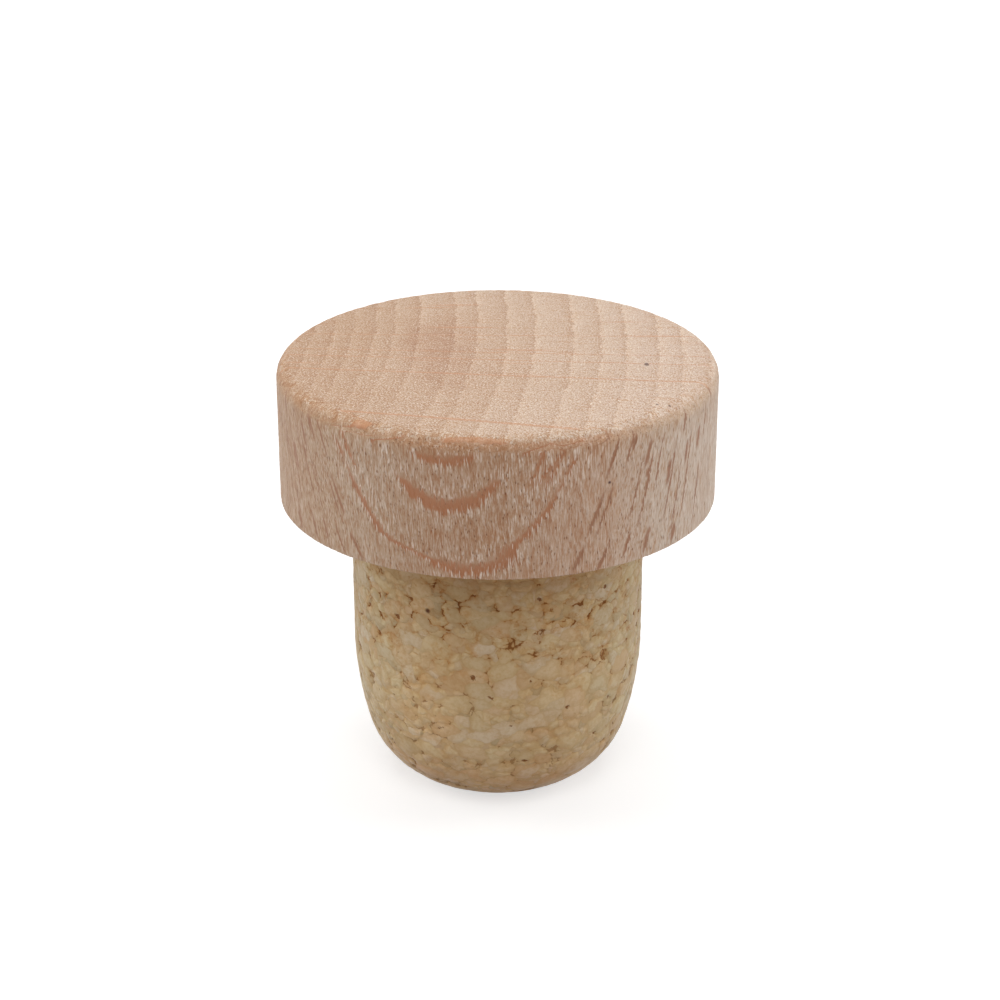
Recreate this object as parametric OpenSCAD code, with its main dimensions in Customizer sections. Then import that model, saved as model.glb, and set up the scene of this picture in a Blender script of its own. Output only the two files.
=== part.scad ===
// Bar-top stopper: a turned beech head glued to a rounded agglomerated cork shank.
// Millimetres. The origin is on the axis, in the plane where the head's underside
// meets the bottle's rim. +Z points up through the head, and the shank hangs below.

/* [Head] */
// Diameter of the turned beech head
head_d = 29.5; // [27:0.5:40]
// Height of the head above the bottle's rim
head_h = 9.5; // [6:0.5:16]
// Radius of the eased upper edge
head_edge_r = 1.0; // [0.4:0.1:2.5]
// Width of the tiny chamfer that takes the burr off the crisp lower edge
head_break = 0.05; // [0.05:0.05:0.5]

/* [Glue joint] */
// Depth of the shallow recess that centres the shank under the head
recess_depth = 0.8; // [0.4:0.1:2]
// Width of the chamfer on the shank's glued end
lead_in = 0.5; // [0.2:0.1:1]
// Room left for glue between the shank and the recess wall
glue_gap = 0.1; // [0.05:0.05:0.3]

/* [Shank] */
// Diameter of the straight stretch that grips the bottle's mouth
shank_d = 20; // [18:0.5:22]
// Length of the shank below the head
shank_len = 21; // [17:0.5:30]
// Length of the rounded nose, from the end of the straight stretch to the end face
nose_len = 10.7; // [9:0.1:13]
// Radius of the nose's corner, where its flank turns into the end face
nose_r = 5.8; // [3:0.1:6.4]
// Diameter of the flat end face
end_face_d = 7; // [5:0.5:9]

/* [Hidden] */
$fn = 128;

head_r = head_d / 2;
shank_r = shank_d / 2;
end_r = end_face_d / 2;
recess_r = shank_r + glue_gap;
grip_len = shank_len - nose_len;

// The nose is two arcs that run into each other without a corner. The long flank arc
// leaves the straight stretch along the wall, and the corner arc ends level with the
// end face. The flank's radius is the one that meets the corner arc tangentially.
nose_w = shank_r - end_r;
corner_r = min(nose_r, 0.9 * nose_w);
corner_z = nose_len - corner_r;
flank_r = (nose_w ^ 2 + corner_z ^ 2 - corner_r ^ 2) / (2 * (nose_w - corner_r));
// Height of the flank arc, down to where the corner arc takes over
flank_h = flank_r * corner_z / (flank_r - corner_r);

// Half section of the head, with the recess for the shank in its underside
module head_section() {
    difference() {
        union() {
            polygon([
                [0, 0],
                [head_r - head_break, 0],
                [head_r, head_break],
                [head_r, head_h - head_edge_r],
                [head_r - head_edge_r, head_h],
                [0, head_h]
            ]);
            translate([head_r - head_edge_r, head_h - head_edge_r])
                circle(head_edge_r);
        }
        square([recess_r, recess_depth]);
    }
}

// Half section of the straight stretch and of the chamfered end in the recess
module grip_section() {
    polygon([
        [0, -grip_len],
        [shank_r, -grip_len],
        [shank_r, 0],
        [shank_r - lead_in, recess_depth],
        [0, recess_depth]
    ]);
}

// Half section of the nose, hanging below the end of the straight stretch
module nose_section() {
    intersection() {
        translate([shank_r - flank_r, 0])
            circle(flank_r);
        translate([0, -flank_h])
            square([shank_r, flank_h]);
    }
    intersection() {
        translate([end_r, -corner_z])
            circle(corner_r);
        // This window hangs from the height where the two arcs meet.
        translate([end_r, -flank_h])
            translate([0, -corner_r])
                square([nose_w, corner_r]);
    }
    translate([0, -nose_len])
        square([end_r, nose_len]);
}

// Turned head with its end grain on top
module wood_head() {
    color("#c9a98c")
        rotate_extrude()
            head_section();
}

// Cork shank with its straight grip and its rounded nose
module cork_shank() {
    color("#c8a878")
        rotate_extrude()
            union() {
                grip_section();
                translate([0, -grip_len])
                    nose_section();
            }
}

wood_head();
cork_shank();
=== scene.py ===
# %% [markdown]
# A bar-top stopper is two pieces glued end to end: a disc of beech and a plug of
# ground cork that was pressed together and turned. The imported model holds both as
# exact solids. This notebook loads it as a fixed frame, and then makes the two
# surfaces that the eye reads, the wood and the cork, over the same sizes.

# %% Load the frame
import math

import bmesh
import bpy
from mathutils import Matrix, Vector


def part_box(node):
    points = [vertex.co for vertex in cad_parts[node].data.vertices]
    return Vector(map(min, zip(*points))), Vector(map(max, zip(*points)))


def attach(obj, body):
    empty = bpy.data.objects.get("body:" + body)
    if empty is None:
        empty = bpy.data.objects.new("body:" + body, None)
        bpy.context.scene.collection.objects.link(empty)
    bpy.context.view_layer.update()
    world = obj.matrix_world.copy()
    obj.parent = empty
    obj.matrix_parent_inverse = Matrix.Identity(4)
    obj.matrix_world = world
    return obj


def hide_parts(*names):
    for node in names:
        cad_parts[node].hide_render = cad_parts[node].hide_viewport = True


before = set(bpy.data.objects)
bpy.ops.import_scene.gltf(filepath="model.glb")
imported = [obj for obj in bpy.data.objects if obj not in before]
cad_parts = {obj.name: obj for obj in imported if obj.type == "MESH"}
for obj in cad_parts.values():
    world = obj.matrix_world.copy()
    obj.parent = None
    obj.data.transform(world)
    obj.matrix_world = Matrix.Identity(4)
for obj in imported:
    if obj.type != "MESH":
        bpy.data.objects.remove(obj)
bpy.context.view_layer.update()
print("nodes", sorted(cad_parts))

# %% [markdown]
# Sizes come from the frame where it has them. The radii of rounded edges and the
# lengths inside an outline can't be read from a box, so they are named here, in
# metres, as the real part has them.

# %% Sizes of the two pieces
MM = 0.001
head_low, head_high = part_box("wood_head")
shank_low, shank_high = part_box("cork_shank")
head_r = head_high.x
head_top = head_high.z
head_edge_r = 1.0 * MM
head_break = 0.05 * MM
shank_r = shank_high.x
recess_depth = shank_high.z
recess_r = shank_r + 0.1 * MM
lead_in = 0.5 * MM
shank_end = shank_low.z
nose_len = 10.7 * MM
corner_r = 5.8 * MM
end_r = 3.5 * MM
print("head radius", head_r / MM, "shank radius", shank_r / MM, "end at", shank_end / MM)

# %% [markdown]
# The camera stands where the photographer's stood: a long lens, a little above the
# head, looking slightly down. The distance matters as much as the lens, because it
# sets how much wider the near rim looks than the far one.

# %% Camera
camera_aim = Vector((0.16, 0, -0.926)) * MM
camera_distance = 164.7 * MM
camera_elevation = math.radians(23.47)
camera_data = bpy.data.cameras.new("camera")
camera_data.lens = 86.72
camera_data.sensor_width = 36
camera_data.clip_start = 0.01
camera_data.clip_end = 10
camera = bpy.data.objects.new("camera", camera_data)
bpy.context.scene.collection.objects.link(camera)
towards_camera = Vector((0, -math.cos(camera_elevation), math.sin(camera_elevation)))
camera.location = camera_aim + camera_distance * towards_camera
camera.rotation_euler = (-towards_camera).to_track_quat("-Z", "Y").to_euler()
bpy.context.scene.camera = camera
bpy.context.scene.view_settings.view_transform = "Standard"
print("camera at", [round(c, 4) for c in camera.location])

# %% [markdown]
# Patterns are sums and products of a few noises, and node trees for them grow long.
# This small class wraps a socket so that Python's own signs build the Math nodes,
# and a graph adds any other node by one call. The same calls work in a material and
# in a geometry tree, so one recipe can both colour a surface and shape it.

# %% A socket that can be calculated with
class Wire:
    """An output socket in a graph, for use in sums and products."""

    def __init__(self, graph, socket):
        self.graph = graph
        self.socket = socket

    def __add__(self, other):
        return self.graph.math("ADD", self, other)

    def __radd__(self, other):
        return self.graph.math("ADD", other, self)

    def __sub__(self, other):
        return self.graph.math("SUBTRACT", self, other)

    def __rsub__(self, other):
        return self.graph.math("SUBTRACT", other, self)

    def __mul__(self, other):
        return self.graph.math("MULTIPLY", self, other)

    def __rmul__(self, other):
        return self.graph.math("MULTIPLY", other, self)

    def __truediv__(self, other):
        return self.graph.math("DIVIDE", self, other)

    def __pow__(self, other):
        return self.graph.math("POWER", self, other)

    def __abs__(self):
        return self.graph.math("ABSOLUTE", self)

    def output(self, name):
        """Another output of the node that this wire comes from."""
        return Wire(self.graph, self.socket.node.outputs[name])


# %% A graph that grows by one call per node
class Graph:
    """A node tree, of a material, of the world or of a geometry modifier."""

    def __init__(self, tree):
        self.tree = tree

    def node(self, kind, settings, values, output=0):
        """Adds a node, sets it up, then fills or links its sockets."""
        made = self.tree.nodes.new(kind)
        for name, setting in settings.items():
            if name == "stops":
                self.fill_ramp(made.color_ramp, setting)
            else:
                setattr(made, name, setting)
        for name, value in values.items():
            if isinstance(value, Wire):
                self.tree.links.new(value.socket, made.inputs[name])
            else:
                made.inputs[name].default_value = value
        return Wire(self, made.outputs[output]) if made.outputs else None

    def fill_ramp(self, ramp, stops):
        """Gives a colour ramp its (position, colour) stops."""
        while len(ramp.elements) < len(stops):
            ramp.elements.new(1)
        for element, (position, colour) in zip(ramp.elements, stops):
            element.position = position
            element.color = colour

    def math(self, operation, *values):
        return self.node("ShaderNodeMath", {"operation": operation}, dict(enumerate(values)))

    def most(self, first, second):
        return self.math("MAXIMUM", first, second)

    def scaled(self, vector, factor):
        settings = {"operation": "SCALE"}
        return self.node("ShaderNodeVectorMath", settings, {0: vector, "Scale": factor})

    def moved(self, vector, offset):
        return self.node("ShaderNodeVectorMath", {"operation": "ADD"}, {0: vector, 1: offset})

    def stretched(self, vector, factors):
        settings = {"operation": "MULTIPLY"}
        return self.node("ShaderNodeVectorMath", settings, {0: vector, 1: factors})

    def fitted(self, vector, factors, offset):
        """The vector times its factors, then moved by the offset."""
        settings = {"operation": "MULTIPLY_ADD"}
        return self.node("ShaderNodeVectorMath", settings, {0: vector, 1: factors, 2: offset})

    def length(self, vector):
        return self.node("ShaderNodeVectorMath", {"operation": "LENGTH"}, {0: vector}, "Value")

    def split(self, vector):
        """The three parts of a vector."""
        x = self.node("ShaderNodeSeparateXYZ", {}, {0: vector})
        return x, x.output("Y"), x.output("Z")

    def join(self, x, y, z):
        return self.node("ShaderNodeCombineXYZ", {}, {0: x, 1: y, 2: z})

    def fade(self, value, low, high):
        """0 at low and 1 at high, with soft ends. low may be above high."""
        settings = {"interpolation_type": "SMOOTHSTEP"}
        return self.node("ShaderNodeMapRange", settings, {0: value, 1: low, 2: high})

    def noise(self, place, detail=2.0, roughness=0.5, output="Fac"):
        """Soft noise about 0.5, with lumps one unit of place apart."""
        values = {"Vector": place, "Scale": 1.0, "Detail": detail, "Roughness": roughness}
        return self.node("ShaderNodeTexNoise", {}, values, output)

    def cells(self, place, feature="F1"):
        """Random cells about one unit of place across."""
        values = {"Vector": place, "Scale": 1.0, "Randomness": 1.0}
        return self.node("ShaderNodeTexVoronoi", {"feature": feature}, values)

    def blend(self, factor, first, second, blend_type="MIX"):
        """Mixes two colours. 0 gives the first."""
        settings = {"data_type": "RGBA", "blend_type": blend_type}
        return self.node("ShaderNodeMix", settings, {0: factor, 6: first, 7: second}, 2)

    def shade(self, factor, colour, filter_colour):
        """Multiplies a colour by a filter, as far as the factor says."""
        return self.blend(factor, colour, filter_colour, "MULTIPLY")


# %% [markdown]
# The grain of the head is solid. Beech has three things to see: growth rings, broad
# rays and fine fibres with their pores. All run on through the wood, so a pattern in
# three dimensions meets itself at every edge, and the top and the side agree without
# any mapping. The tree's centre lies far off to the left. The fibres lean back, less
# so towards the right, so the rays, thin sheets that stand along the fibres and point
# at the centre, cut the front of the rim as U shapes and its sides as short dashes.

# %% Where things are in the wood
pith_away = 97.0
pith_y = 6.46
fibre_lean = 0.28
lean_lost = 0.009


def wood_places(graph, place):
    """Distance out from the tree's centre, distance round it, and height, in mm."""
    x, y, z = graph.split(place)
    out = x + pith_away
    lean = fibre_lean - lean_lost * graph.most(x, 0.0)
    across = y - pith_y + lean * (head_top / MM - z)
    radius = graph.math("SQRT", out * out + across * across)
    return radius - pith_away, across / out * pith_away, z


# %% [markdown]
# Each year's ring starts pale and ends in a thin darker line. The widths differ from
# year to year, so they are a list. A ramp numbers the rings: it rises by one level in
# each ring, and what is left past the whole number is how far the year has come.

# %% Growth rings
first_ring = -15.8
ring_widths = (1.7, 1.5, 1.4, 1.3, 1.5, 1.3, 1.7, 2.5, 1.5, 2.1, 1.9, 2.6, 1.9, 1.7, 2.2, 1.6, 1.8, 1.7)
rings_span = sum(ring_widths)
ring_stops = []
for years in range(len(ring_widths) + 1):
    level = years / len(ring_widths)
    ring_stops.append((sum(ring_widths[:years]) / rings_span, (level, level, level, 1)))


def ring_tones(graph, out, around):
    """The pale start of each year's ring and its dark end, 0 to 1."""
    wavy = graph.noise(graph.join(out * 0.1, around * 0.3, 0.0), 3, 0.6) - 0.5
    broken = graph.noise(graph.join(out * 2.0, around * 2.0, 0.0), 2, 0.6) - 0.5
    position = (out + 0.6 * wavy + 0.9 * broken - first_ring) / rings_span
    count = graph.node("ShaderNodeValToRGB", {"stops": ring_stops}, {0: position})
    year = graph.math("FRACT", count * len(ring_widths))
    return (1 - year) ** 2.5, 0.4 * year + 0.6 * graph.fade(year, 0.7, 0.98)


print(len(ring_widths), "rings over", round(rings_span, 1), "mm")

# %% [markdown]
# The rays that the front and the right side show are listed one by one, each by the
# sheet that it lies in, the height of its middle, and its half height and half
# thickness. The rest are random lenses: cells stretched far outwards, with only the
# middle of each one filled.

# %% Broad rays
shown_rays = (
    (-21.02, 9.25, 0.2, 0.16),
    (-21.12, 7.95, 0.45, 0.09),
    (-20.23, 5.2, 1.5, 0.12),
    (-20.0, 8.75, 0.4, 0.08),
    (-18.9, 3.2, 3.2, 0.08),
    (-18.93, 0.7, 0.8, 0.1),
    (-19.35, 7.7, 1.4, 0.055),
    (-18.9, 7.4, 0.62, 0.08),
    (-18.3, 10.2, 1.5, 0.15),
    (-17.6, 7.6, 1.2, 0.06),
    (-17.47, 3.9, 1.3, 0.08),
    (-17.38, 1.05, 0.85, 0.07),
    (-17.17, 4.1, 1.5, 0.05),
    (-16.85, 8.0, 1.1, 0.055),
    (-16.71, 8.2, 0.6, 0.08),
    (-16.57, 0.8, 0.9, 0.06),
    (-15.95, 4.6, 2.2, 0.04),
    (-15.7, 1.4, 0.8, 0.07),
    (-15.71, 7.2, 0.82, 0.12),
    (-15.5, 5.9, 0.28, 0.08),
    (-15.4, 5.2, 2.6, 0.06),
    (-14.9, 6.4, 1.9, 0.04),
    (-14.68, 1.25, 0.87, 0.11),
    (-14.06, 5.3, 0.85, 0.14),
    (-13.8, 4.9, 2.6, 0.06),
    (-13.27, 8.35, 0.7, 0.09),
    (-13.1, 3.4, 2.4, 0.045),
    (-12.87, 0.9, 0.62, 0.13),
    (-12.72, 6.1, 0.78, 0.11),
    (-12.4, 4.6, 2.8, 0.06),
    (-11.49, 6.65, 0.7, 0.14),
    (-11.05, 2.7, 1.9, 0.06),
    (-10.78, 7.3, 1.05, 0.07),
    (-9.98, 10.2, 2.6, 0.085),
    (-7.1, 10.0, 2.0, 0.06),
    (-5.65, 9.8, 1.5, 0.05),
    (-2.25, 9.8, 1.6, 0.045),
    (9.3, 3.2, 1.7, 0.08),
    (8.2, 7.2, 1.3, 0.07),
    (10.2, 1.2, 0.9, 0.07),
)
hand_placed_below = -9.5


def rays(graph, out, around, height, ragged):
    """1 inside a ray and 0 outside: the placed, their frayed rims, the random, the faint."""
    bend = graph.noise(graph.join(out * 0.2, around * 0.2, height * 0.35)) - 0.5
    front = graph.fade(around, -17.6, -18.6)
    foremost = graph.fade(around, -19.5, -19.9) * graph.fade(out, -7.5, -6.0)
    sheet = around + 0.22 * bend + (0.3 + 0.25 * front) * (ragged - 0.5)
    rim = graph.fade(height, 8.5, 9.1) * graph.fade(height, 9.49, 9.4)
    tilt = 0.03 - 0.1 * graph.fade(height, 2.5, 0.8) - 0.2 * rim
    sheet = sheet + tilt * out * front + 0.018 * (out + 0.7) * (out + 0.7) * foremost
    here = graph.join(sheet, height, 0.0)
    nearest = 10.0
    for middle, level, half_height, half_thickness in shown_rays:
        scale = (1 / half_thickness, 1 / half_height, 0)
        centre = (-middle / half_thickness, -level / half_height, 0)
        nearest = graph.math("MINIMUM", graph.length(graph.fitted(here, scale, centre)), nearest)
    patchy = graph.noise(graph.join(out * 0.7, around * 1.0, height * 0.9), 3, 0.6)
    placed = graph.fade(nearest + 1.3 * (patchy - 0.45), 1.45, 0.7)
    frayed = graph.fade(nearest, 4.5, 1.5) * front
    spot = graph.join(out / 16, sheet / 0.95, height / 2.6)
    scattered = graph.fade(graph.cells(spot), 0.2, 0.1)
    elsewhere = graph.fade(around, hand_placed_below, hand_placed_below + 1)
    faint = graph.noise(graph.join(out * 0.3, sheet * 4.2, height * 0.3), 2, 0.6)
    return placed, frayed, scattered * elsewhere, graph.fade(faint, 0.54, 0.7)


print(len(shown_rays), "rays placed by hand")

# %% [markdown]
# Fibres and pores are the finest grain. Seen end on, at the top, they are specks a
# tenth of a millimetre across. Along the side the same noise is drawn out into
# strokes, because it is stretched along the fibres.

# %% Fibres and pores
def fibres(graph, out, around, height):
    """Broad strokes, fine strokes, the finest strands and distance from a pore."""
    along = height + 4.5 * graph.most(height - 8.6, 0)
    broad = graph.noise(graph.join(out * 1.8, around * 1.8, along * 0.25), 2, 0.6)
    speck = graph.noise(graph.join(out * 9.0, around * 9.0, along * 0.95), 2, 0.7)
    flank_stroke = graph.noise(graph.join(out * 11.5, around * 11.5, along * 0.75), 1, 0.6)
    front_stroke = graph.noise(graph.join(out * 12.5 + 4 * broad, around * 3.8, along * 0.8), 1, 0.6)
    frontal = graph.fade(abs(out), 9.6, 8.4)
    stroke = frontal * front_stroke + (1 - frontal) * flank_stroke
    on_side = graph.fade(height, 8.9, 8.4)
    fine = on_side * stroke + (1 - on_side) * speck
    strand = graph.noise(graph.join(out * 16.0, around * 16.0, along * 1.9), 1, 0.5)
    pore = graph.cells(graph.join(out * 5.5, around * 5.5, along * 0.9))
    return broad, fine, strand, pore


# %% [markdown]
# A surface of revolution is drawn as half of its section and spun. The section is a
# pen line: a straight run extrudes the last vertex step by step, and a round run
# spins it about the centre of its arc. The steps are as fine as the relief needs.

# %% A pen for half sections
class Section:
    """Half of a turned piece's outline in the XZ plane, drawn from the axis."""

    def __init__(self, r, z):
        self.mesh = bmesh.new()
        self.tip = self.mesh.verts.new((r, 0, z))

    def line(self, r, z, steps):
        """A straight run to a new point in equal steps."""
        step = (Vector((r, 0, z)) - self.tip.co) / steps
        for _ in range(steps):
            made = bmesh.ops.extrude_vert_indiv(self.mesh, verts=[self.tip])
            self.tip = made["verts"][0]
            bmesh.ops.translate(self.mesh, vec=step, verts=[self.tip])

    def arc(self, r, z, angle, steps):
        """A round run about the centre (r, z), turning from +Z to +X to -Z."""
        made = bmesh.ops.spin(
            self.mesh, geom=[self.tip], cent=(r, 0, z), axis=(0, 1, 0),
            angle=angle, steps=steps, use_duplicate=False,
        )
        self.tip = [item for item in made["geom_last"] if isinstance(item, bmesh.types.BMVert)][0]

    def turned(self, name, segments):
        """The closed mesh that the section sweeps in a full turn."""
        wedge = math.tau / 8
        bmesh.ops.spin(
            self.mesh, geom=self.mesh.verts[:] + self.mesh.edges[:], cent=(0, 0, 0),
            axis=(0, 0, 1), angle=wedge, steps=segments // 8,
        )
        for turn in (wedge, 2 * wedge, 4 * wedge):
            everything = self.mesh.verts[:] + self.mesh.edges[:] + self.mesh.faces[:]
            copy = bmesh.ops.duplicate(self.mesh, geom=everything)["geom"]
            moving = [item for item in copy if isinstance(item, bmesh.types.BMVert)]
            bmesh.ops.rotate(self.mesh, cent=(0, 0, 0), matrix=Matrix.Rotation(turn, 3, "Z"), verts=moving)
        bmesh.ops.remove_doubles(self.mesh, verts=self.mesh.verts, dist=0.002 * MM)
        bmesh.ops.recalc_face_normals(self.mesh, faces=self.mesh.faces)
        mesh = bpy.data.meshes.new(name)
        self.mesh.to_mesh(mesh)
        self.mesh.free()
        mesh.shade_smooth()
        mesh.set_sharp_from_angle(angle=math.radians(40))
        made = bpy.data.objects.new(name, mesh)
        bpy.context.scene.collection.objects.link(made)
        print(name, len(mesh.polygons), "faces")
        return made


# %% [markdown]
# The plain turned shape gets its relief from a geometry modifier. It moves each
# vertex along its normal by a height that the pattern's own recipe gives, so a dark
# crevice in the colour is also a groove in the mesh. The result is then applied.

# %% Push a surface in and out by a recipe
def carve(piece, height_recipe):
    """Moves the piece's vertices along their normals by the recipe's height in mm."""
    tree = bpy.data.node_groups.new(piece.name + "_relief", "GeometryNodeTree")
    tree.interface.new_socket("Geometry", in_out="INPUT", socket_type="NodeSocketGeometry")
    tree.interface.new_socket("Geometry", in_out="OUTPUT", socket_type="NodeSocketGeometry")
    graph = Graph(tree)
    surface = graph.node("NodeGroupInput", {}, {})
    place = graph.scaled(graph.node("GeometryNodeInputPosition", {}, {}), 1 / MM)
    height = height_recipe(graph, place) * MM
    offset = graph.scaled(graph.node("GeometryNodeInputNormal", {}, {}), height)
    shaped = graph.node("GeometryNodeSetPosition", {}, {"Geometry": surface, "Offset": offset})
    graph.node("NodeGroupOutput", {}, {"Geometry": shaped})
    modifier = piece.modifiers.new("relief", "NODES")
    modifier.node_group = tree
    before = [vertex.co.copy() for vertex in piece.data.vertices]
    view = bpy.context.evaluated_depsgraph_get()
    mesh = bpy.data.meshes.new_from_object(piece.evaluated_get(view))
    piece.modifiers.clear()
    piece.data = mesh
    moves = [(vertex.co - old).length / MM for vertex, old in zip(mesh.vertices, before)]
    print(piece.name, "moved by up to", round(max(moves), 3), "mm")


# %% A material from a recipe
def dress(piece, name, recipe):
    """Gives a piece the material whose shader sockets the recipe returns."""
    material = bpy.data.materials.new(name)
    material.use_nodes = True
    material.node_tree.nodes.clear()
    graph = Graph(material.node_tree)
    place = graph.scaled(graph.node("ShaderNodeTexCoord", {}, {}, "Object"), 1 / MM)
    shader = graph.node("ShaderNodeBsdfPrincipled", {}, recipe(graph, place))
    graph.node("ShaderNodeOutputMaterial", {}, {"Surface": shader})
    piece.data.materials.clear()
    piece.data.materials.append(material)
    print(name, len(material.node_tree.nodes), "nodes")


# %% [markdown]
# The head is turned from a plank with its end grain up. Its upper edge is rounded
# off by hand and a little ragged, because end grain crumbles there, and its lower
# edge is still crisp.

# %% Turn the head
section = Section(0, head_top)
section.line(head_r - 2.6 * MM, head_top, 12)
section.line(head_r - head_edge_r, head_top, 14)
section.arc(head_r - head_edge_r, head_top - head_edge_r, math.pi / 2, 16)
section.line(head_r, head_break, 46)
section.line(head_r - head_break, 0, 2)
section.line(recess_r, 0, 8)
section.line(recess_r, recess_depth, 2)
section.line(0, recess_depth, 4)
wood = section.turned("beech_head", 760)


# %% Where a point is on the head
def head_places(graph, place):
    """How far a point lies on the worn upper edge, and on the side, 0 to 1."""
    x, y, z = graph.split(place)
    r = graph.math("SQRT", x * x + y * y)
    from_corner = (head_r / MM - r) + (head_top / MM - z)
    worn = graph.fade(from_corner, 1.1, 0.6) * graph.fade(z, 5.0, 7.0)
    side = graph.fade(r - 0.5 * (z - head_top / MM), head_r / MM - 0.3, head_r / MM + 0.1)
    return worn, side


# %% Relief of the head
def head_relief(graph, place):
    """Height in mm, never above the turned surface."""
    out, around, height = wood_places(graph, place)
    worn, side = head_places(graph, place)
    broad, fine, strand, pore = fibres(graph, out, around, height)
    lumps = graph.noise(graph.scaled(place, 1.3), 3, 0.6)
    x, y, z = graph.split(place)
    chips = worn * (0.03 + 0.03 * graph.fade(y, 4, -4)) * graph.fade(lumps, 0.45, 0.65)
    strokes = 0.02 * graph.fade(fine, 0.6, 0.4) + 0.012 * graph.fade(broad, 0.6, 0.4)
    return 0 - chips - side * strokes


carve(wood, head_relief)


# %% [markdown]
# The wood's colour starts as one tone that drifts from brown on the left to pale on
# the right. The rings, the fibres, the pores and the rays then each change it a
# little, by as much as their own part of the surface shows.

# %% Marks on the top
heart_stain = (-4.0, 1.0, 3.6, 8.5)
dark_specks = ((9.85, -1.5, 0.16, 0.3), (10.1, -8.85, 0.09, 0.1), (10.9, -8.85, 0.09, 0.1))
side_speck = (7.0, -13.0, 5.9)
shank_speck = (-4.6, -8.9, -5.0)


def spot(graph, place, x, y, half_width, half_length):
    """How far a point on the top is from a spot's middle, where 1 is the spot's edge."""
    factors = (1 / half_width, 1 / half_length, 0)
    return graph.length(graph.fitted(place, factors, (-x / half_width, -y / half_length, 0)))


def near(graph, place, middle, reach):
    """1 close to a point of the surface, falling to 0 at the reach, in mm."""
    away = graph.length(graph.moved(place, [-part for part in middle]))
    return graph.fade(away, reach, 0.3 * reach)


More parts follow.
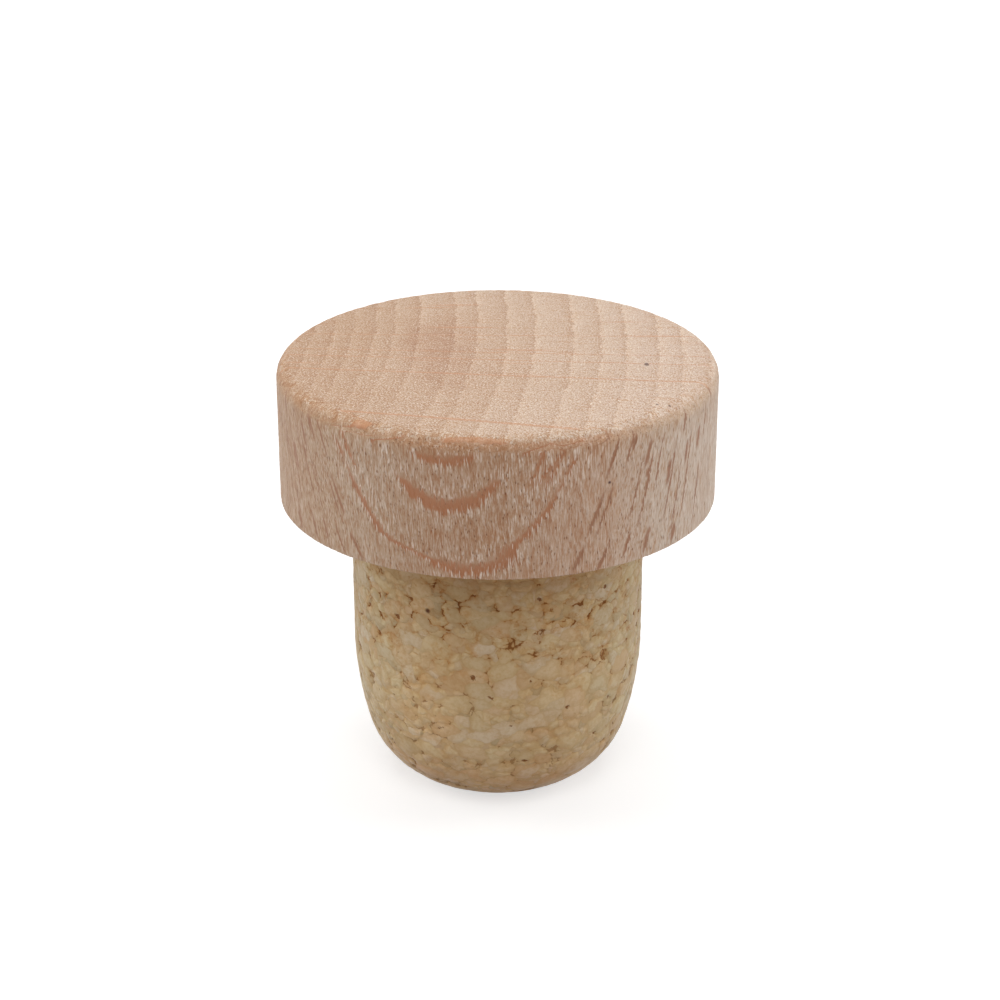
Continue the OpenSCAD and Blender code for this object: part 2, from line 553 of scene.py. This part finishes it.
# %% Beech
def beech(graph, place):
    """The shader sockets of the turned and sanded beech."""
    out, around, height = wood_places(graph, place)
    worn, side = head_places(graph, place)
    broad, fine, strand, pore = fibres(graph, out, around, height)
    placed, frayed, scattered, faint = rays(graph, out, around, height, fine)
    early, late = ring_tones(graph, out, around)
    x, y, z = graph.split(place)
    cloud = graph.noise(graph.scaled(place, 0.13), 3, 0.6)
    drift = graph.fade(out + 16 * (cloud - 0.5), -13, 11)
    colour = graph.blend(drift, (0.565, 0.395, 0.27, 1), (0.695, 0.57, 0.475, 1))
    # Painted shade and the side grain's own redder tone: the middle of the side, which faces front and back,
    # is made darker and redder than its flanks, where the side lamps fall.
    front_tone_and_shade = graph.fade(out, -8.5, 1.5) * graph.fade(out, 12.5, 7.5) * side
    colour = graph.shade(front_tone_and_shade, colour, (0.935, 0.78, 0.685, 1))
    colour = graph.shade(graph.fade(abs(out - 2), 3.5, 1) * side, colour, (0.96, 0.94, 0.90, 1))
    colour = graph.shade(side, colour, (0.935, 0.935, 0.93, 1))
    under_rim = graph.fade(z + 1.2 * (broad - 0.5), 7.2, 9.4) * side
    colour = graph.shade(under_rim, colour, (0.96, 0.88, 0.78, 1))
    stained = graph.fade(spot(graph, place, *heart_stain) + 1.2 * (cloud - 0.5), 1.1, 0.1)
    colour = graph.shade(stained * (1 - side), colour, (0.88, 0.79, 0.74, 1))
    colour = graph.shade(graph.fade(out, 6, 11) * (1 - side), colour, (1.03, 1.05, 1.09, 1))
    uneven = graph.fade(graph.noise(graph.scaled(place, 0.5), 2, 0.6), 0.3, 0.62)
    early = early * (0.1 + 0.2 * uneven + 0.25 * drift) * (1 - 0.6 * side)
    late = late * (0.35 + 0.4 * uneven + 0.25 * drift) * (1 - 0.6 * side)
    towards_front = graph.fade(y, 9, -9)
    colour = graph.blend(early * (1 - 0.3 * towards_front), colour, (0.86, 0.74, 0.62, 1))
    colour = graph.shade(late * (1 - 0.3 * towards_front), colour, (0.83, 0.73, 0.64, 1))
    colour = graph.shade((0.9 - 0.3 * side) * faint, colour, (0.92, 0.79, 0.66, 1))
    left = graph.fade(x, -7.5, -10) * side
    colour = graph.shade(left * graph.fade(faint, 0.4, 0.9), colour, (0.84, 0.75, 0.70, 1))
    calm = 1 - 0.35 * worn
    dull = graph.fade(fine, 0.49, 0.38) * calm
    fuzz = graph.fade(fine, 0.54, 0.64) * calm
    rust = graph.fade(strand, 0.46, 0.56)
    pores = graph.fade(pore, 0.22, 0.1)
    crisp = (0.78 + 0.42 * towards_front) * (1 - side)
    colour = graph.shade(dull * crisp, colour, (0.80, 0.62, 0.48, 1))
    colour = graph.shade(dull * side, colour, (0.86, 0.72, 0.62, 1))
    colour = graph.shade(dull * left, colour, (0.95, 0.91, 0.90, 1))
    colour = graph.blend(0.72 * fuzz * crisp, colour, (0.90, 0.84, 0.76, 1))
    colour = graph.blend((0.27 + 0.4 * frayed) * fuzz * side, colour, (0.92, 0.79, 0.70, 1))
    colour = graph.shade(rust * (1 - 0.5 * side), colour, (0.84, 0.70, 0.57, 1))
    colour = graph.shade(pores, colour, (0.62, 0.43, 0.30, 1))
    torn = graph.noise(graph.scaled(place, 2.0), 3, 0.65)
    torn = graph.fade(torn, 0.45, 0.62) * (1.0 - 0.6 * drift)
    colour = graph.shade(worn * torn, colour, (0.87, 0.73, 0.58, 1))
    ray_here = graph.most(placed, 0.8 * scattered)
    ray_colour = graph.blend(graph.fade(around, -18, -19), (0.355, 0.165, 0.088, 1), (0.455, 0.195, 0.095, 1))
    ray_colour = graph.blend(side, (0.58, 0.27, 0.13, 1), ray_colour)
    ray_colour = graph.shade(dull, ray_colour, (0.93, 0.86, 0.80, 1))
    colour = graph.blend(ray_here * (0.6 + 0.37 * side), colour, ray_colour)
    for speck in dark_specks:
        inside = graph.fade(spot(graph, place, *speck), 1.3, 0.6) * (1 - side)
        colour = graph.blend(inside, colour, (0.2, 0.12, 0.09, 1))
    colour = graph.blend(near(graph, place, side_speck, 0.15), colour, (0.12, 0.06, 0.05, 1))
    bumps = 0.04 * (fine - 0.5) + 0.03 * (strand - 0.5) - 0.04 * graph.fade(pore, 0.24, 0.08)
    normal = graph.node("ShaderNodeBump", {}, {"Height": bumps, "Distance": MM, "Strength": 0.9})
    return {
        "Base Color": colour,
        "Roughness": 0.72 - 0.16 * ray_here * side,
        "Normal": normal,
        "Specular IOR Level": 0.3,
        "Sheen Weight": 0.12,
        "Sheen Roughness": 0.5,
    }


dress(wood, "beech_end_and_side", beech)

# %% [markdown]
# The shank is granules of cork, one or two millimetres across, pressed together with
# a binder. Its nose is two arcs that meet without a corner: a long one that leaves the
# straight wall, and a tight one that ends level with the flat end.

# %% Turn the shank
nose_w = shank_r - end_r
corner_z = nose_len - corner_r
flank_r = (nose_w**2 + corner_z**2 - corner_r**2) / (2 * (nose_w - corner_r))
flank_angle = math.asin(corner_z / (flank_r - corner_r))
nose_start = shank_end + nose_len
section = Section(0, recess_depth)
section.line(shank_r - lead_in, recess_depth, 3)
section.line(shank_r, 0, 3)
section.line(shank_r, nose_start, 78)
section.arc(shank_r - flank_r, nose_start, flank_angle, 48)
section.arc(end_r, shank_end + corner_r, math.pi / 2 - flank_angle, 50)
section.line(0, shank_end, 8)
cork = section.turned("cork_shank_detailed", 480)


# %% [markdown]
# Cork granules are Voronoi cells in two sizes: each large cell is either one granule
# or a cluster of small ones. A noise bends the space before the cells are drawn, so
# that no edge is straight. Most seams are closed and show as a faint line. Some have
# opened into dark crevices, and here and there a crumb has fallen out.

# %% Granules
def granules(graph, place):
    """Distance from a seam, how far from the middle, own colour, stains and open seams."""
    coarse = graph.noise(graph.scaled(place, 0.7), 2, 0.5, "Color")
    close = graph.noise(graph.scaled(place, 2.6), 2, 0.6, "Color")
    bent = graph.moved(graph.moved(place, graph.scaled(coarse, 1.4)), graph.scaled(close, 0.3))
    large_place = graph.stretched(bent, (0.62, 0.62, 0.95))
    small_place = graph.stretched(bent, (1.25, 1.25, 1.8))
    large = graph.cells(large_place)
    small = graph.cells(small_place)
    large_edge = graph.cells(large_place, "DISTANCE_TO_EDGE") / 0.75
    small_edge = graph.cells(small_place, "DISTANCE_TO_EDGE") / 1.45
    pick = graph.split(large.output("Color"))[0]
    whole = graph.math("GREATER_THAN", pick, 0.5)
    seam = whole * large_edge + (1 - whole) * graph.math("MINIMUM", large_edge, small_edge)
    middle = whole * large + (1 - whole) * small
    own = graph.blend(whole, small.output("Color"), large.output("Color"))
    open_here = graph.noise(graph.scaled(place, 1.5), 3, 0.65)
    clustered = graph.noise(graph.scaled(place, 0.45), 2, 0.5)
    gaping = middle + 1.3 * (open_here - 0.5) + 0.8 * (clustered - 0.5) - 0.9 * seam
    return seam, middle, own, graph.fade(gaping, 0.63, 0.87), graph.fade(gaping, 0.81, 0.93)


def missing_crumbs(graph, place):
    """1 where a crumb has fallen out."""
    ragged = graph.noise(graph.scaled(place, 3.0), 3, 0.6) - 0.5
    return graph.fade(graph.cells(graph.scaled(place, 0.5)) + 0.4 * ragged, 0.1, 0.06)


# %% Relief of the shank
def shank_relief(graph, place):
    """Height in mm, never above the turned surface, and 0 where the shank is hidden."""
    seam, middle, own, stain, crevice = granules(graph, place)
    x, y, z = graph.split(place)
    shown = graph.fade(z, 0, -0.5) * graph.fade(z, shank_end / MM, shank_end / MM + 0.25)
    level = graph.split(own)[2]
    low = 0.02 * level + 0.025 * graph.fade(middle, 0.2, 0.8) + 0.07 * crevice
    return 0 - (low + 0.1 * missing_crumbs(graph, place)) * shown


carve(cork, shank_relief)


# %% Cork
granule_tints = (
    (0.0, (0.56, 0.42, 0.25, 1)),
    (0.2, (0.71, 0.515, 0.30, 1)),
    (0.4, (0.71, 0.54, 0.315, 1)),
    (0.55, (0.68, 0.48, 0.285, 1)),
    (0.7, (0.72, 0.55, 0.325, 1)),
    (0.85, (0.64, 0.48, 0.285, 1)),
    (1.0, (0.72, 0.56, 0.385, 1)),
)


cork_patches = (
    ((-2.4, -9.7, -4.6), 3.2, (0.94, 0.92, 0.89, 1)),
    ((-4.5, -8.5, -13.0), 3.2, (1.10, 1.10, 1.10, 1)),
)


def cork_finish(graph, place):
    """The shader sockets of the pressed and sanded cork."""
    seam, middle, own, stain, crevice = granules(graph, place)
    first, second, third = graph.split(own)
    x, y, z = graph.split(place)
    colour = graph.node("ShaderNodeValToRGB", {"stops": granule_tints}, {0: first})
    mottle = graph.noise(graph.scaled(place, 3.0), 3, 0.65)
    cloud = graph.noise(graph.scaled(place, 0.25), 2, 0.5)
    rusty = graph.noise(graph.scaled(place, 0.9), 4, 0.7)
    upper = graph.fade(z, -13, -6)
    colour = graph.shade(0.6 * graph.fade(mottle, 0.6, 0.35), colour, (0.86, 0.78, 0.66, 1))
    colour = graph.shade(0.6 * graph.fade(cloud, 0.6, 0.35), colour, (0.94, 0.88, 0.80, 1))
    # Painted shade: each granule is darker towards its rim, as light would shade a domed granule.
    colour = graph.shade(0.8 * graph.fade(middle, 0.3, 0.8), colour, (0.88, 0.80, 0.68, 1))
    lined = graph.fade(seam, 0.1, 0.02) * graph.fade(mottle, 0.42, 0.6)
    colour = graph.shade(0.4 * lined, colour, (0.80, 0.66, 0.48, 1))
    smudged = graph.noise(graph.stretched(place, (2.0, 2.0, 3.0)), 3, 0.65)
    smudged = graph.fade(smudged + 0.3 * (cloud - 0.5), 0.6, 0.7) * (0.3 + 0.7 * upper)
    colour = graph.shade(0.7 * smudged, colour, (0.80, 0.62, 0.42, 1))
    rusty = graph.fade(rusty, 0.5, 0.66) * (0.5 + 0.5 * upper)
    colour = graph.shade(rusty, colour, (0.92, 0.78, 0.62, 1))
    # Painted shade: the upper part of the shank is darker, where the overhanging head shades it.
    colour = graph.shade(graph.fade(z, -12, -7), colour, (0.92, 0.91, 0.90, 1))
    # Painted shade and painted warm bounce light from the wood: just under the head the cork is darker and
    # redder.
    colour = graph.shade(graph.fade(z, -5.0, -0.5), colour, (1.0, 0.85, 0.68, 1))
    # Painted shade: the nose near the floor, which faces down, is darker and redder.
    colour = graph.shade(graph.fade(z, -15, -18.5), colour, (1.0, 0.91, 0.86, 1))
    # Painted sheen: the flanks left and right are less red and bluer, as a sheen at grazing angles would make
    # them.
    colour = graph.shade(graph.fade(abs(x), 4.5, 8.5), colour, (0.95, 1.02, 1.08, 1))
    for middle_of_patch, reach, tint in cork_patches:
        colour = graph.shade(near(graph, place, middle_of_patch, reach), colour, tint)
    colour = graph.blend(near(graph, place, shank_speck, 0.25), colour, (0.1, 0.035, 0.01, 1))
    colour = graph.shade(0.8 * upper * stain, colour, (0.86, 0.66, 0.45, 1))
    colour = graph.blend(0.5 * graph.fade(third, 0.94, 0.97), colour, (0.56, 0.34, 0.17, 1))
    colour = graph.blend((0.5 + 0.4 * upper) * crevice, colour, (0.2, 0.065, 0.01, 1))
    colour = graph.blend(0.9 * missing_crumbs(graph, place), colour, (0.2, 0.065, 0.012, 1))
    bumps = 0.03 * mottle - 0.05 * graph.fade(middle, 0.2, 0.8)
    normal = graph.node("ShaderNodeBump", {}, {"Height": bumps, "Distance": MM, "Strength": 0.8})
    return {
        "Base Color": colour,
        "Roughness": 0.66 + 0.2 * crevice,
        "Normal": normal,
        "Specular IOR Level": 0.2,
        "Sheen Weight": 0.35,
        "Sheen Roughness": 0.3,
    }


dress(cork, "pressed_cork", cork_finish)

# %% [markdown]
# Each new piece is tied to the body that it moves with, and the solid of the frame that
# it stands for is hidden. There is one body, because nothing moves.

# %% Tie the pieces to the frame
for piece, node, slot in ((wood, "wood_head", "beech"), (cork, "cork_shank", "cork")):
    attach(piece, "root")
    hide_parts(node)
    print(piece.name, "stands for", node)

# %% [markdown]
# The floor is white paper. Seen by the camera it glows a little, so that it stays
# white while the lamps stay low, and the stopper's soft shadow still shows on it.

# %% Floor
floor_mesh = bpy.data.meshes.new("floor")
paper = bmesh.new()
bmesh.ops.create_grid(paper, x_segments=1, y_segments=1, size=2)
bmesh.ops.translate(paper, vec=(0, 0, shank_end), verts=paper.verts)
paper.to_mesh(floor_mesh)
paper.free()
floor = bpy.data.objects.new("floor", floor_mesh)
bpy.context.scene.collection.objects.link(floor)


def seen_directly(graph):
    """1 for rays from the camera, and for mirrored and refracted ones."""
    from_camera = graph.node("ShaderNodeLightPath", {}, {}, "Is Camera Ray")
    mirrored = graph.most(from_camera.output("Is Glossy Ray"), from_camera.output("Is Transmission Ray"))
    return graph.most(from_camera, mirrored)


paper_white = bpy.data.materials.new("white_paper")
paper_white.use_nodes = True
paper_white.node_tree.nodes.clear()
graph = Graph(paper_white.node_tree)
matte = graph.node("ShaderNodeBsdfDiffuse", {}, {"Color": (0.55, 0.55, 0.55, 1)})
spread = graph.length(graph.node("ShaderNodeTexCoord", {}, {}, "Object"))
whiter = graph.blend(graph.fade(spread, 0.12, 0.35), (0.62, 0.62, 0.62, 1), (1, 1, 1, 1))
glow = graph.node("ShaderNodeEmission", {}, {"Color": whiter, "Strength": seen_directly(graph)})
both = graph.node("ShaderNodeAddShader", {}, {0: matte, 1: glow})
graph.node("ShaderNodeOutputMaterial", {}, {"Surface": both})
floor_mesh.materials.append(paper_white)

# %% [markdown]
# The light is one large soft box overhead, three weaker ones in front and at the
# sides, and a little from all round.

# %% Light
def soft_box(name, place, size, watts):
    """A square lamp that faces the stopper."""
    lamp_data = bpy.data.lights.new(name, "AREA")
    lamp_data.size = size
    lamp_data.energy = watts
    lamp = bpy.data.objects.new(name, lamp_data)
    bpy.context.scene.collection.objects.link(lamp)
    lamp.location = place
    lamp.rotation_euler = (-Vector(place)).to_track_quat("-Z", "Y").to_euler()
    print(name, watts, "W")


soft_box("overhead", (0.0, 0.08, 0.5), 0.5, 1.6)
soft_box("front", (0.0, -0.35, 0.35), 0.3, 1.05)
soft_box("left", (-0.45, 0.1, 0.15), 0.3, 1.15)
soft_box("right", (0.45, 0.1, 0.15), 0.3, 1.05)
world = bpy.data.worlds.new("studio")
world.use_nodes = True
world.node_tree.nodes.clear()
graph = Graph(world.node_tree)
strength = 0.05 + 0.95 * seen_directly(graph)
sky = graph.node("ShaderNodeBackground", {}, {"Color": (1, 1, 1, 1), "Strength": strength})
graph.node("ShaderNodeOutputWorld", {}, {"Surface": sky})
bpy.context.scene.world = world
